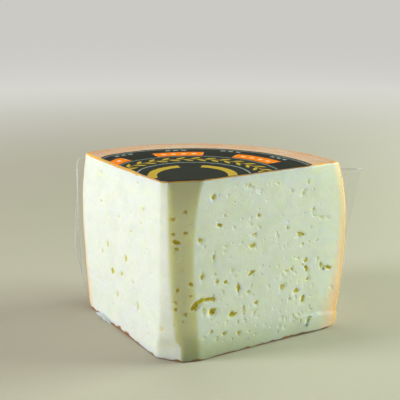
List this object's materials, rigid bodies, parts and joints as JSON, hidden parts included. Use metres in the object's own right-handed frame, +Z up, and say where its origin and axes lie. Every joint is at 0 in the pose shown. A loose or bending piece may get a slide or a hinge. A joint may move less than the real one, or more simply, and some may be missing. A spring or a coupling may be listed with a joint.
{
  "type": "goat cheese wedge",
  "caption": "Wedge of semi-hard goat cheese cut from a barrel-shaped wheel, with small eyes in the pale paste, an orange rind, a cut round label on top and clear film round the rind.",
  "frame": {"origin": "bottom centre of the bounding box, on the surface the piece stands on", "axes": "+X across the wedge from its left cut to its right cut, +Y from the nose to the rind, +Z up along the wheel's axis"},
  "size_m": [0.1582, 0.1082, 0.0953],
  "materials": {
    "cheese_paste": "pale ivory cut paste, orange-tan rind",
    "printed_label": "satin print, black with orange and gold",
    "clear_film": "clear glossy film"
  },
  "bodies": {
    "root": {"cheese_wedge": "cheese_paste", "top_label": "printed_label", "wrap_film": "clear_film"}
  },
  "joints": []
}
